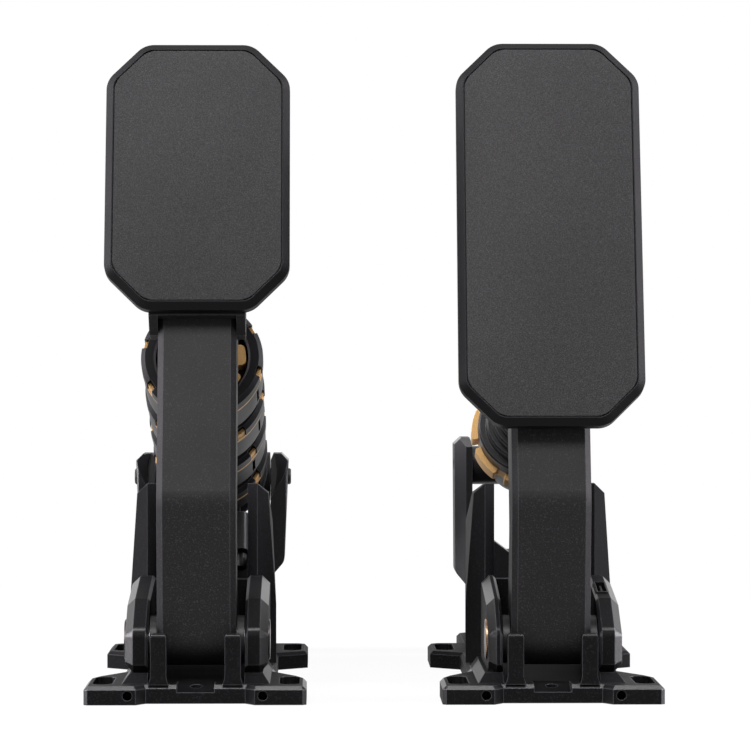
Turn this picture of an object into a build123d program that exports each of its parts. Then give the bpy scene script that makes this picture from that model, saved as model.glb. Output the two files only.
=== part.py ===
from build123d import *
import os
from math import acos, atan2, cos, degrees, hypot, pi, radians, sin, sqrt

# A brake and a throttle pedal that stand side by side, in millimetres.
# X runs across the pair, Y from the driver to the back, Z up from the floor.
# Each unit is drawn about its own middle plane with Y from the front of its feet,
# and is set down in the pair at the end.
unit_spacing = 152.4
base_length = 270.0

# Clearances and shares used all over
running_gap = 0.1
seat_gap = 0.05
side_gap = 0.3
overrun = 5.0
middle_share = 0.5

# Base casting
plate_thick = 8.0
foot_half = 47.3
foot_inner = 25.2
foot_slope = 4.0
bar_setback = 6.0
foot_side_y = 36.0
foot_turn_half = 44.0
foot_turn_y = 46.0
waist_half = 33.5
waist_front_y = 66.0
waist_rear_y = 155.0
rear_foot_half = 46.0
rear_foot_y = 165.0
rear_foot_bevel = 4.0
rear_foot_end_y = 208.0
tail_half = 31.0
tail_bevel = 6.0
base_edge = 1.6

# Slots that bolt the base to a rig, and the tapped holes of its front bar
slot_width = 8.6
slot_length = 34.0
slot_half_spacing = 40.0
slot_front_y = 26.0
slot_row_spacing = 160.0
front_tap = 4.0
front_tap_half_spacing = 28.7
front_tap_z = 3.9
front_tap_depth = 10.0
notch_half = 8.0
notch_floor = 4.8
notch_end_y = 21.3
notch_tap = 5.0
notch_tap_y = 15.0

# Stop ears in front of the arm's heel
ear_inner = 12.4
ear_outer = 19.3
ear_flare = 0.9
ear_front_y = 6.0
ear_rear_y = 14.0
ear_top = 29.5
ear_round = 3.2

# Side cheeks of the base
cheek_inner = 20.4
cheek_outer = 29.7
cheek_flare = 33.2
cheek_flare_z = 35.0
cheek_tail = 25.8
cheek_ridge = 24.8
cheek_front_y = 95.0
cheek_facet = 5.0
cheek_height = 82.0
cheek_top_length = 6.0
cheek_top_bevel = 4.6
cheek_rear_y = 226.0
cheek_rear_z = 46.0

# Pivot: axle, bushes, washers and hubs
pivot_y = 34.0
pivot_z = 25.0
heel_y = 34.0
heel_z = 30.0
axle_radius = 6.0
axle_inset = 0.6
bush_wall = 2.0
bush_inset = 0.6
washer_radius = 10.4
washer_thick = 3.0
hub_inner = 20.7
hub_width = 10.0
slim_hub_width = 6.2
hub_front_y = 17.0
hub_knee_z = 30.0
hub_knee_round = 5.0
hub_step_y = 38.0
hub_step_z = 42.5
hub_crest_y = 80.0
hub_rear_y = 92.0
hub_height = 41.0
hub_bevel = 3.4
hub_inner_bevel = 1.2
hub_seat_rise = 4.0
hub_seat_front_y = 11.0
hub_seat_ramp = 6.5
hub_seat_half = 31.6
hub_seat_slope = 3.0
hub_wall_reach = 6.0
hub_wall_thick = 5.0
cap_radius = 8.8
cap_thick = 0.8

# Countersunk screws from under the base
base_screw_radius = 2.5
base_screw_head = 5.0
base_screw_cone = 2.8
base_screw_reach = 10.0
base_screw_recess = 0.4
hub_screw_front_y = 24.5
hub_screw_rear_y = 76.0
hub_screw_inset = 3.1
yoke_screw_half = 16.0
yoke_screw_spacing = 16.0

# Arm, a channel open to the back, alike in both units
arm_half = 17.0
arm_wall = 5.0
arm_depth = 31.0
arm_heel = 16.0
arm_bend_y = 11.6
arm_bend_z = 87.0
arm_bend_front = 18.0
arm_bend_rear = 12.0
arm_lean = 14.5
arm_top = 176.0
arm_bevel = 2.5
arm_top_round = 6.0
channel_below_bend = 24.0

# Front pin that joins the arm to the rod's eye
pin_y = 51.5
pin_z = 161.7
pin_radius = 4.0
eye_radius = 9.0
eye_half = 8.0

# Bracket between the arm and the face plate
bracket_web = 6.5
bracket_tab = 3.85
bracket_bottom = 73.3
bracket_web_bottom = 79.5
bracket_tab_front = 4.0
bracket_tab_low = 12.0
bracket_tab_rear = 16.0
bracket_slope = 6.5
bracket_screw_radius = 3.0
bracket_screw_head = 5.0
bracket_screw_head_thick = 2.6
bracket_screw_depth = 8.0
bracket_screw_places_share = (0.17, 0.83)

# Faces: plates with a bevelled rim, and the pad let into each
face_width = 80.0
brake_face_length = 120.0
throttle_face_length = 172.0
brake_face_centre = 140.4
throttle_face_centre = 115.2
face_thick = 8.0
face_corner = 16.5
face_corner_round = 10.0
face_bevel = 3.0
pad_inset = 3.35
pad_gap = 0.25
pad_thick = 1.5
face_screw_radius = 2.5
face_screw_head = 5.0
face_screw_cone = 2.6
face_screw_half = 11.0
face_screw_row = 30.0

# Rear pivots, yokes and trunnions
brake_trunnion_z = 87.0
throttle_trunnion_z = 92.5
stub_radius = 4.0
stub_proud = 1.2
throttle_stub_sink = 0.4
stub_depth = 20.5
yoke_front_y = 238.0
yoke_depth = 28.0
yoke_upright = 8.8
brake_yoke_inner = 28.7
throttle_yoke_inner = 24.1
brake_yoke_over = 11.6
throttle_yoke_over = 14.0
yoke_foot_half = 29.5
brake_yoke_foot_top = 38.5
throttle_yoke_foot_top = 33.0
brake_yoke_taper = 2.0
throttle_yoke_taper = 0.4
yoke_flare = 6.0
yoke_flare_rise = 7.0
yoke_valley = 50.0
yoke_valley_half = 6.0
yoke_valley_rise = 13.5
yoke_bevel_out = 3.3
yoke_bevel_in = 1.3
yoke_front_bevel = 4.5
yoke_flare_round = 5.0
brake_yoke_edge = 1.2
throttle_yoke_edge = 5.6
scoop_radius = 32.2
scoop_depth = 8.0
scoop_bevel = 4.6
brake_barrel = 12.0
throttle_barrel = 9.5

# Rods, and the clearance of each rod's eye round the front pin
rod_bevel = 1.0
brake_eye_gap = 0.45
throttle_eye_gap = 1.0
brake_rod_radius = 6.0
brake_rod_length = 222.0
throttle_rod_radius = 5.0
throttle_rod_length = 150.0

# Brake stack, by distance behind the front pin
stack_start = 41.4
stack_pitch = 42.0
stack_count = 4
ring_radius = 27.5
ring_bore = 20.8
ring_length = 9.0
ring_bevel = 1.9
bore_bevel = 0.9
notch_count = 8
notch_width = 4.4
notch_depth = 2.4
ring_turns = (-14.3, -6.1, 8.0, 12.5)
disc_radius = 27.2
disc_thick = 2.5
lug_length = 5.6
cup_radius = 27.0
cup_length = 21.0
last_cup_length = 14.5
cup_bore = 21.4
cup_floor = 3.5
cup_bevel = 1.2
key_width = 2.0
key_length = 14.0
key_depth = 1.6
key_turns = (-23.0, -23.0, -37.0, -30.0)
elastomer_radius = 20.3
elastomer_groove = 0.9
elastomer_groove_share = 0.33
cell_length = 8.0
cell_radius = 24.0
case_half_width = 18.0
case_reach = 46.0
case_front = 8.0
case_round = 3.4
case_neck = 14.0
knob_radius = 19.8
knob_root = 16.6
knob_start = 2.0
knob_length = 6.8
knob_lobes = 8
knob_lobe_width = 9.6
knob_round = 2.0
knob_turn = 5.6
trunnion_flange = 4.6
trunnion_flange_radius = 27.0
trunnion_neck_radius = 15.0

# Throttle strut, by distance behind the front pin
collar_start = 18.0
collar_length = 4.0
collar_radius = 16.0
spring_wire = 2.7
spring_outer = 15.0
spring_pitch = 5.0
spring_seat_start = 134.0
spring_seat_length = 6.0
spring_seat_radius = 17.5
cup_step_length = 7.0
cup_step_radius = 20.0
cup_rim_length = 9.5
cup_rim_radius = 23.4
step_bevel = 0.8
wheel_start = 157.0
wheel_length = 10.0
wheel_radius = 26.2
wheel_root = 22.9
wheel_lobes = 8
wheel_lobe_gap = 4.6
wheel_round = 1.0
wheel_turn = 14.0
tube_start = 60.0
tube_radius = 10.5
tube_chamber = 192.0
tail_flange = 6.0
tail_flange_radius = 20.0
tail_body_radius = 16.0
tail_lap = 3.0

# Sockets and the throttle's angle sensor
socket_width = 5.6
socket_height = 20.0
socket_depth = 7.0
socket_proud = 0.8
socket_wall = 0.8
socket_floor = 2.0
socket_x = 24.4
socket_place_share = 0.43
sensor_radius = 9.4
sensor_thick = 3.0
magnet_radius = 3.0
magnet_thick = 2.4
magnet_gap = 0.6
load_socket_radius = 4.5
load_socket_length = 7.0
load_socket_bore = 3.0
load_socket_x = 12.9

# Places that follow from the sizes above
cheek_top = plate_thick + cheek_height
trunnion_y = yoke_front_y + yoke_depth / 2
hub_seat_top = plate_thick + hub_seat_rise
hub_top = plate_thick + hub_height
hub_outer = hub_inner + hub_width
slim_hub_outer = hub_inner + slim_hub_width
sensor_floor = hub_outer - sensor_thick
throttle_axle_end = sensor_floor - magnet_gap - magnet_thick

low = (Align.CENTER, Align.CENTER, Align.MIN)


# Shared helpers

def save(name, shape):
    solids = list(shape) if isinstance(shape, (list, tuple)) else shape.solids()
    whole = solids[0] if len(solids) == 1 else Compound(children=solids)
    whole.label = name
    export_step(whole, os.path.join("parts", name + ".step"))


def set_down(shape, side):
    """Moves a piece from its unit to the pair; side is -1 for the brake, 1 for the throttle."""
    return Pos(side * unit_spacing / 2, -base_length / 2, 0) * shape


def plate(outline, bottom, height):
    """A prism that stands on an outline of (x, y) points."""
    return Pos(0, 0, bottom) * extrude(Polygon(*outline, align=None), height, dir=(0, 0, 1))


def side_prism(outline, half_width):
    """A prism across the unit from an outline of (y, z) points."""
    return extrude(Plane.YZ * Polygon(*outline, align=None), half_width, both=True)


def front_prism(outline, front, depth):
    """A prism that runs back from an outline of (x, z) points."""
    return Pos(0, front, 0) * extrude(Plane.XZ * Polygon(*outline, align=None), depth, dir=(0, 1, 0))


def mirrored(outline):
    """Completes a half outline, drawn at positive X, with its mirror image."""
    return list(outline) + [(-x, other) for x, other in reversed(outline) if x != 0]


def cross_bar(radius, start, end, y, z):
    """A cylinder along X between two places."""
    return Pos((start + end) / 2, y, z) * Rot(0, degrees(pi / 2), 0) * Cylinder(radius, abs(end - start))


def disc(radius, start, length):
    """A cylinder along a strut."""
    return Pos(0, 0, start) * Cylinder(radius, length, align=low)


def ring(radius, bore, start, length):
    return disc(radius, start, length) - disc(bore, start - overrun, length + 2 * overrun)


def cone(low_radius, high_radius, start, length):
    return Pos(0, 0, start) * Cone(low_radius, high_radius, length, align=low)


def rims(shape, radius, start):
    """The circular edges of a strut piece with one radius at one place."""
    close = seat_gap / 2
    return [edge for edge in shape.edges().filter_by(GeomType.CIRCLE)
            if abs(edge.radius - radius) < close and abs(edge.center().Z - start) < close]


def tangent_point(centre, radius, outside, turn):
    """Where a line from an outside point touches a circle; turn picks the side."""
    dy = outside[0] - centre[0]
    dz = outside[1] - centre[1]
    angle = atan2(dz, dy) + turn * acos(radius / hypot(dy, dz))
    return (centre[0] + radius * cos(angle), centre[1] + radius * sin(angle))


# The arm's upper stretch: up leans back with it, in goes through it from front to back.
up_y, up_z = sin(radians(arm_lean)), cos(radians(arm_lean))
in_y, in_z = up_z, -up_y


def on_arm(along, depth):
    """The (y, z) of a point that far above the bend and behind the arm's front."""
    return (arm_bend_y + along * up_y + depth * in_y, arm_bend_z + along * up_z + depth * in_z)


def face_plane(along):
    """Lies on the back of a face plate: X across, Y up the face, Z to the driver."""
    y, z = on_arm(along, -bracket_web)
    return Plane(origin=(0, y, z), x_dir=(1, 0, 0), z_dir=(0, -in_y, -in_z))


def strut(trunnion_z):
    """Starts at the front pin and looks down the strut, with local Y downwards."""
    return Plane(origin=(0, pin_y, pin_z), x_dir=(1, 0, 0),
                 z_dir=(0, trunnion_y - pin_y, trunnion_z - pin_z))


def strut_length(trunnion_z):
    return hypot(trunnion_y - pin_y, trunnion_z - pin_z)


# Base

def slot(x, y):
    return Pos(x, y, -overrun) * extrude(SlotOverall(slot_length, slot_width, rotation=degrees(pi / 2)),
                                         plate_thick + 2 * overrun)


def base_screw_places(yoke=True):
    across = hub_inner + hub_screw_inset
    places = [(side * across, y) for side in (-1, 1) for y in (hub_screw_front_y, hub_screw_rear_y)]
    yoke_middle = yoke_front_y + yoke_depth / 2
    rows = [yoke_middle + side * yoke_screw_spacing / 2 for side in (-1, 1)]
    if yoke:
        places += [(side * yoke_screw_half, y) for side in (-1, 1) for y in rows]
    return places


def base_screw(gap=0):
    """A countersunk screw that starts in the base's underside; gap widens it into its hole."""
    head_top = base_screw_recess + base_screw_cone
    screw = cone(base_screw_head + gap, base_screw_radius + gap, base_screw_recess, base_screw_cone)
    screw += disc(base_screw_radius + gap, head_top, plate_thick + base_screw_reach - head_top + gap)
    if gap:
        screw += disc(base_screw_head + gap, -overrun, overrun + base_screw_recess)
    return screw


def base_outline():
    foot = foot_half
    return mirrored([
        (0, bar_setback), (foot_inner - foot_slope, bar_setback), (foot_inner, 0),
        (foot - base_edge, 0), (foot, base_edge), (foot, foot_side_y), (foot_turn_half, foot_turn_y),
        (waist_half, waist_front_y), (waist_half, waist_rear_y),
        (rear_foot_half, rear_foot_y), (foot, rear_foot_y + foot - rear_foot_half),
        (foot, rear_foot_end_y - rear_foot_bevel), (foot - rear_foot_bevel, rear_foot_end_y),
        (tail_half, rear_foot_end_y), (tail_half, base_length - tail_bevel),
        (tail_half - tail_bevel, base_length), (0, base_length)])


def cheeks():
    """The two side walls: a front view, a side view and a plan, cut from each other."""
    lean = cheek_outer - cheek_ridge
    foot_z = plate_thick - seat_gap
    front = [(cheek_inner, foot_z), (cheek_flare, foot_z), (cheek_flare, cheek_flare_z),
             (cheek_outer, cheek_top - cheek_top_bevel), (cheek_ridge, cheek_top), (cheek_inner, cheek_top)]
    side = [(cheek_front_y, 0), (cheek_front_y, cheek_top), (cheek_front_y + cheek_top_length, cheek_top),
            (cheek_rear_y, cheek_rear_z), (cheek_rear_y + cheek_facet, 0)]
    plan = [(cheek_inner, cheek_front_y + lean), (cheek_ridge, cheek_front_y),
            (cheek_flare, cheek_front_y + 2 * lean), (cheek_tail, base_length), (cheek_inner, base_length)]
    wall = front_prism(front, cheek_front_y, base_length - cheek_front_y) & side_prism(side, foot_half)
    wall = wall & plate(plan, 0, cheek_top + overrun)
    return wall + mirror(wall, about=Plane.YZ)


def ears():
    foot_z = plate_thick - seat_gap
    front = [(ear_inner - ear_flare, foot_z), (ear_inner, plate_thick + ear_round),
             (ear_inner, ear_top), (ear_outer, ear_top), (ear_outer, plate_thick + ear_round),
             (ear_outer + ear_flare, foot_z)]
    ear = front_prism(front, ear_front_y, ear_rear_y - ear_front_y)
    tops = ear.edges().group_by(Axis.Z)[-1]
    ear = fillet(tops, ear_round * middle_share)
    return ear + mirror(ear, about=Plane.YZ)


def hub_seats():
    """The low raised seats under the hubs, with a ramp in front and a slope outside."""
    foot_z = plate_thick - seat_gap
    front = [(hub_inner, foot_z), (hub_seat_half, foot_z), (hub_seat_half - hub_seat_slope, hub_seat_top),
             (hub_inner, hub_seat_top)]
    side = [(hub_seat_front_y, foot_z), (hub_seat_front_y + hub_seat_ramp, hub_seat_top),
            (hub_rear_y, hub_seat_top), (hub_rear_y, foot_z)]
    seat = front_prism(front, hub_seat_front_y, hub_rear_y - hub_seat_front_y) & side_prism(side, foot_half)
    return seat + mirror(seat, about=Plane.YZ)


def base():
    body = plate(base_outline(), 0, plate_thick)
    body = chamfer(body.edges().group_by(Axis.Z)[-1], base_edge)
    body += ears() + cheeks() + hub_seats()
    for x in (-slot_half_spacing, slot_half_spacing):
        for y in (slot_front_y, slot_front_y + slot_row_spacing):
            body -= slot(x, y)
    for x in (-front_tap_half_spacing, front_tap_half_spacing):
        body -= Pos(x, -overrun, front_tap_z) * Rot(-degrees(pi / 2), 0, 0) * Cylinder(
            front_tap / 2, front_tap_depth + overrun, align=low)
    ramp = [(bar_setback - overrun, notch_floor), (bar_setback + base_edge / 2, notch_floor),
            (notch_end_y, plate_thick), (notch_end_y, plate_thick + overrun),
            (bar_setback - overrun, plate_thick + overrun)]
    body -= side_prism(ramp, notch_half)
    body -= Pos(0, notch_tap_y, -overrun) * Cylinder(notch_tap / 2, plate_thick + 2 * overrun, align=low)
    for x, y in base_screw_places():
        body -= Pos(x, y, 0) * base_screw(side_gap)
    return body


# Pivot

def hub(side, width=hub_width):
    """One pivot hub: a long block that slopes up and back in two steps, bevelled on its outer face."""
    outer = hub_inner + width
    lift = hub_seat_top + hub_bevel
    outline = [(hub_front_y + hub_bevel, hub_seat_top), (hub_front_y, lift), (hub_front_y, hub_knee_z),
               (hub_step_y, hub_step_z), (hub_crest_y, hub_top), (hub_rear_y - hub_bevel, hub_top),
               (hub_rear_y, hub_top - hub_bevel), (hub_rear_y, hub_seat_top)]
    face = Polygon(*outline, align=None)
    knee = face.vertices().sort_by_distance(Vector(hub_front_y, hub_knee_z))[0]
    face = fillet(knee, hub_knee_round)
    body = Pos(hub_inner, 0, 0) * extrude(Plane.YZ * face, width, dir=(1, 0, 0))
    sides = body.faces().sort_by(Axis.X)
    slim = width < hub_width
    rim = [edge for edge in sides[-1].edges() if not slim or edge.center().Z > hub_seat_top + seat_gap]
    body = chamfer(rim, hub_bevel)
    inner = body.faces().sort_by(Axis.X)[0]
    body = chamfer([edge for edge in inner.edges() if edge.center().Z > hub_knee_z], hub_inner_bevel)
    wall_y = hub_rear_y - hub_bevel - hub_wall_thick
    wall = Pos(hub_inner + hub_inner_bevel, wall_y, lift) * Box(
        hub_wall_reach + hub_inner_bevel, hub_wall_thick, hub_top - hub_inner_bevel - lift,
        align=(Align.MAX, Align.MIN, Align.MIN))
    body += wall
    bush_bore = axle_radius + bush_wall + seat_gap / 2
    body -= cross_bar(bush_bore, hub_inner - overrun, outer + overrun, pivot_y, pivot_z)
    for x, y in base_screw_places(yoke=False):
        if x > 0:
            body -= Pos(x, y, 0) * base_screw(seat_gap)
    return body if side > 0 else mirror(body, about=Plane.YZ)


def bush(side, width=hub_width):
    inner = hub_inner + bush_inset
    end = hub_inner + width - bush_inset
    outer = cross_bar(axle_radius + bush_wall, inner, end, pivot_y, pivot_z)
    bore = cross_bar(axle_radius + seat_gap / 2, inner - overrun, end + overrun, pivot_y, pivot_z)
    body = outer - bore
    return body if side > 0 else mirror(body, about=Plane.YZ)


def pivot_cap(side, width=hub_width):
    """A thin cap on a hub's outer face, over the axle's end."""
    start = hub_inner + width
    cap = cross_bar(cap_radius, start, start + cap_thick, pivot_y, pivot_z)
    cap = chamfer(cap.faces().sort_by(Axis.X)[-1].edges(), cap_thick * middle_share)
    return cap if side > 0 else mirror(cap, about=Plane.YZ)


def washer(side):
    middle_x = (arm_half + hub_inner) / 2
    half = washer_thick / 2
    body = cross_bar(washer_radius, middle_x - half, middle_x + half, pivot_y, pivot_z)
    body -= cross_bar(axle_radius + seat_gap, arm_half - overrun, hub_inner + overrun, pivot_y, pivot_z)
    return body if side > 0 else mirror(body, about=Plane.YZ)


def axle(start=-hub_outer + axle_inset, end=hub_outer - axle_inset):
    return cross_bar(axle_radius, start, end, pivot_y, pivot_z)


# Arm

def arm_corners():
    heel = (heel_y, heel_z)
    bend = on_arm(0, 0)
    heel_front = tangent_point(heel, arm_heel, bend, 1)
    rear_bend = on_arm(arm_bend_rear - arm_bend_front, arm_depth)
    heel_rear = tangent_point(heel, arm_heel, rear_bend, -1)
    return heel_front, bend, rear_bend, heel_rear


def arm():
    heel_front, bend, rear_bend, heel_rear = arm_corners()
    outline = [heel_front, bend, on_arm(arm_top, 0), on_arm(arm_top, arm_depth), rear_bend, heel_rear]
    face = Polygon(*outline, align=None)
    bend_corner = face.vertices().sort_by_distance(Vector(*bend))[0]
    face = fillet(bend_corner, arm_bend_front)
    rear_corner = face.vertices().sort_by_distance(Vector(*rear_bend))[0]
    face = fillet(rear_corner, arm_bend_rear)
    top = [face.vertices().sort_by_distance(Vector(*on_arm(arm_top, depth)))[0] for depth in (0, arm_depth)]
    face = fillet(top, arm_top_round)
    face += Pos(heel_y, heel_z) * Circle(arm_heel)
    body = extrude(Plane.YZ * face, arm_half, both=True)
    flanks = body.faces().sort_by(Axis.X)
    front = [edge for edge in flanks[0].edges() + flanks[-1].edges()
             if edge.center().Y < heel_y or edge.center().Z < heel_z]
    body = chamfer(front, arm_bevel)
    body -= arm_channel(heel_front, bend)
    body -= cross_bar(axle_radius + seat_gap / 2, -arm_half - overrun, arm_half + overrun, pivot_y, pivot_z)
    body -= cross_bar(pin_radius + seat_gap / 2, -arm_half - overrun, arm_half + overrun, pin_y, pin_z)
    for y, z in bracket_screw_places():
        body -= cross_bar(bracket_screw_radius + seat_gap, -arm_half - overrun, arm_half + overrun, y, z)
    return body


def arm_channel(heel_front, bend):
    """The hollow behind the arm's front wall, from below the bend to above the top."""
    run = hypot(heel_front[0] - bend[0], heel_front[1] - bend[1])
    down_y = (heel_front[0] - bend[0]) / run
    down_z = (heel_front[1] - bend[1]) / run
    back_y, back_z = -down_z, down_y
    square = 1 + in_y * back_y + in_z * back_z
    corner = (bend[0] + arm_wall * (in_y + back_y) / square, bend[1] + arm_wall * (in_z + back_z) / square)
    reach = arm_depth + overrun
    low_front = (corner[0] + channel_below_bend * down_y, corner[1] + channel_below_bend * down_z)
    low_rear = (low_front[0] + reach * back_y, low_front[1] + reach * back_z)
    top = arm_top - arm_wall
    outline = [low_front, corner, on_arm(top, arm_wall), on_arm(top, reach), low_rear]
    return side_prism(outline, arm_half - arm_wall)


def front_pin():
    return cross_bar(pin_radius, -arm_half, arm_half, pin_y, pin_z)


# Bracket and face

def bracket_screw_places():
    run = arm_top - bracket_web_bottom
    heights = [bracket_web_bottom + share * run for share in bracket_screw_places_share]
    return [on_arm(height, bracket_screw_depth) for height in heights]


def bracket():
    """A web in front of the arm with a tab down each of the arm's sides."""
    web = side_prism([on_arm(bracket_web_bottom, -bracket_web), on_arm(arm_top, -bracket_web),
                      on_arm(arm_top, 0), on_arm(bracket_web_bottom, 0)], arm_half + bracket_tab)
    tab_points = [(bracket_web_bottom, -bracket_web), (bracket_bottom, bracket_tab_front),
                  (bracket_bottom, bracket_tab_low), (bracket_bottom + bracket_slope, bracket_tab_rear),
                  (arm_top - bracket_slope, bracket_tab_rear), (arm_top, bracket_tab_low),
                  (arm_top, -bracket_web)]
    tabs = side_prism([on_arm(*point) for point in tab_points], arm_half + bracket_tab)
    tabs -= side_prism([on_arm(0, -overrun - bracket_web), on_arm(arm_top + overrun, -overrun - bracket_web),
                        on_arm(arm_top + overrun, arm_depth), on_arm(0, arm_depth)], arm_half)
    body = web + tabs
    for y, z in bracket_screw_places():
        body -= cross_bar(bracket_screw_radius + seat_gap, -arm_depth, arm_depth, y, z)
    for plane_x, plane_y in face_screw_places():
        hole = Pos(plane_x, plane_y, -bracket_web - overrun) * Cylinder(
            face_screw_radius + seat_gap, bracket_web + 2 * overrun, align=low)
        body -= face_plane(0).location * hole
    return body


def bracket_screws():
    screws = []
    outer = arm_half + bracket_tab
    for y, z in bracket_screw_places():
        for side in (-1, 1):
            shank = cross_bar(bracket_screw_radius, side * (arm_half - arm_wall), side * outer, y, z)
            head = cross_bar(bracket_screw_head, side * outer, side * (outer + bracket_screw_head_thick), y, z)
            hollow_start = outer + bracket_screw_head_thick * middle_share
            hollow = cross_bar(bracket_screw_head * middle_share, side * hollow_start,
                               side * (outer + bracket_screw_head_thick + overrun), y, z)
            screws.append((shank + head - hollow).solid())
    return screws


def face_screw_places():
    """Where the face screws are, on the arm's own scale of height above the bend."""
    middle_height = (bracket_web_bottom + arm_top) / 2
    return [(x, middle_height + side * face_screw_row)
            for x in (-face_screw_half, face_screw_half) for side in (-1, 1)]


def face_outline(length, inset=0):
    """An octagon: a rectangle with its corners cut and each of the eight turns rounded."""
    half_width = face_width / 2
    half_length = length / 2
    points = [(half_width - face_corner, -half_length), (half_width, face_corner - half_length),
              (half_width, half_length - face_corner), (half_width - face_corner, half_length)]
    octagon = Polygon(*mirrored(points), align=None)
    octagon = fillet(octagon.vertices(), face_corner_round)
    return offset(octagon, -inset, kind=Kind.INTERSECTION) if inset else octagon


def face_screw(gap=0):
    head_top = face_thick - pad_thick
    screw = disc(face_screw_radius + gap, -bracket_web, bracket_web + head_top - face_screw_cone)
    screw += cone(face_screw_radius + gap, face_screw_head + gap, head_top - face_screw_cone, face_screw_cone)
    return screw


def face_plate(length, centre):
    body = extrude(face_outline(length), face_thick)
    body = chamfer(body.edges().group_by(Axis.Z)[-1], face_bevel)
    body -= Pos(0, 0, face_thick - pad_thick) * extrude(face_outline(length, pad_inset), pad_thick + overrun)
    for x, along in face_screw_places():
        body -= Pos(x, along - centre, 0) * face_screw(seat_gap)
    return face_plane(centre).location * body


def face_screws(centre):
    return [face_plane(centre).location * (Pos(x, along - centre, 0) * face_screw())
            for x, along in face_screw_places()]


def face_pad(length, centre):
    pad = extrude(face_outline(length, pad_inset + pad_gap), pad_thick)
    return face_plane(centre).location * (Pos(0, 0, face_thick - pad_thick) * pad)


# Rear yoke and its pivot stubs

def yoke(inner, over, trunnion_z, foot_top, taper, edge):
    outer = inner + yoke_upright
    top = trunnion_z + over
    waist = outer - taper
    foot_side = min(yoke_foot_half, waist - yoke_flare)
    front = mirrored([
        (0, plate_thick), (foot_side, plate_thick), (foot_side, foot_top),
        (waist, foot_top + yoke_flare_rise), (outer, top - yoke_bevel_out),
        (outer - yoke_bevel_out, top), (inner + yoke_bevel_in, top), (inner, top - yoke_bevel_out),
        (inner, yoke_valley + yoke_valley_rise), (yoke_valley_half, yoke_valley), (0, yoke_valley)])
    rear_y = yoke_front_y + yoke_depth
    side = [(yoke_front_y, plate_thick), (yoke_front_y, top - yoke_front_bevel),
            (yoke_front_y + yoke_bevel_out, top), (rear_y - yoke_front_bevel, top),
            (rear_y, top - yoke_front_bevel), (rear_y, plate_thick)]
    plan = mirrored([(0, yoke_front_y), (outer - edge, yoke_front_y), (outer, yoke_front_y + edge),
                     (outer, rear_y), (0, rear_y)])
    body = front_prism(front, yoke_front_y, yoke_depth)
    knees = [line for line in body.edges().filter_by(Axis.Y)
             if abs(line.center().Z - foot_top - yoke_flare_rise) < seat_gap and abs(line.center().X) > foot_side]
    body = fillet(knees, yoke_flare_round) & side_prism(side, outer + overrun)
    body = body & plate(plan, 0, top + overrun)
    for x, y in base_screw_places():
        if y > yoke_front_y:
            body -= Pos(x, y, 0) * base_screw(seat_gap)
    body -= cross_bar(stub_radius + seat_gap, -outer - overrun, outer + overrun, trunnion_y, trunnion_z)
    return body


def scoop():
    """Hollows the brake's yoke round the end of the stack, with a bevelled rim."""
    length = strut_length(brake_trunnion_z)
    face = (yoke_front_y - pin_y) / (trunnion_y - pin_y) * length
    cut = disc(scoop_radius, face - overrun * 2, scoop_depth + 2 * overrun)
    rim = scoop_radius + scoop_bevel
    cut += cone(rim + overrun, scoop_radius, face - overrun, scoop_bevel + overrun)
    return strut(brake_trunnion_z).location * cut


def stubs(inner, trunnion_z, proud):
    outer = inner + yoke_upright + proud
    start = outer - proud - stub_depth
    stub = cross_bar(stub_radius, start, outer, trunnion_y, trunnion_z)
    stub = chamfer(stub.faces().sort_by(Axis.X)[-1].edges(), stub_proud * middle_share)
    return [stub, mirror(stub, about=Plane.YZ)]


# Brake strut

def eye_end(rod_radius, length, bore_gap):
    """A rod with its flat-sided eye, from the front pin back."""
    eye = Rot(0, degrees(pi / 2), 0) * Cylinder(eye_radius, 2 * eye_half)
    bore = Rot(0, degrees(pi / 2), 0) * Cylinder(pin_radius + bore_gap, 2 * eye_half + 2 * overrun)
    rod = disc(rod_radius, 0, length)
    rod = chamfer(rims(rod, rod_radius, length), rod_bevel)
    return eye + rod - bore


def brake_rod():
    return eye_end(brake_rod_radius, brake_rod_length, brake_eye_gap)


def brake_rod_bore():
    """The rod's clearance, through each piece of the stack."""
    return disc(brake_rod_radius + running_gap, 0, strut_length(brake_trunnion_z))


def turned(shape, turn):
    """Turns a strut piece anticlockwise as the driver sees it."""
    return Rot(0, 0, -turn) * shape


def knob_profile(radius, root, lobes, lobe_width, rounding):
    """A round with broad lobes, each with rounded corners."""
    profile = Circle(root)
    bar = Rectangle(2 * radius, lobe_width) & Circle(radius)
    bar = fillet(bar.vertices(), rounding)
    for index in range(lobes // 2):
        profile += Rot(0, 0, index * degrees(2 * pi) / lobes) * bar
    return profile


def knob():
    profile = knob_profile(knob_radius, knob_root, knob_lobes, knob_lobe_width, knob_round)
    body = Pos(0, 0, stack_start + knob_start) * extrude(profile, knob_length)
    body -= brake_rod_bore()
    return turned(body, knob_turn)


def notches(start, length, floor, width):
    """Blocks that cut the ring's rim or, smaller, stand on the gold disc as its lugs."""
    blocks = []
    depth = ring_radius - floor
    for index in range(notch_count):
        block = Pos(floor + depth, 0, start) * Box(2 * depth, width, length, align=low)
        blocks.append(Rot(0, 0, index * degrees(2 * pi) / notch_count) * block)
    return blocks


def stack_place(index):
    return stack_start + index * stack_pitch


def notched_ring(index):
    start = stack_place(index)
    body = ring(ring_radius, ring_bore, start, ring_length)
    body = chamfer(rims(body, ring_radius, start), ring_bevel)
    body = chamfer(rims(body, ring_bore, start), bore_bevel)
    for block in notches(start - overrun, ring_length + 2 * overrun, ring_radius - notch_depth, notch_width):
        body -= block
    return turned(body, ring_turns[index])


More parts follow.
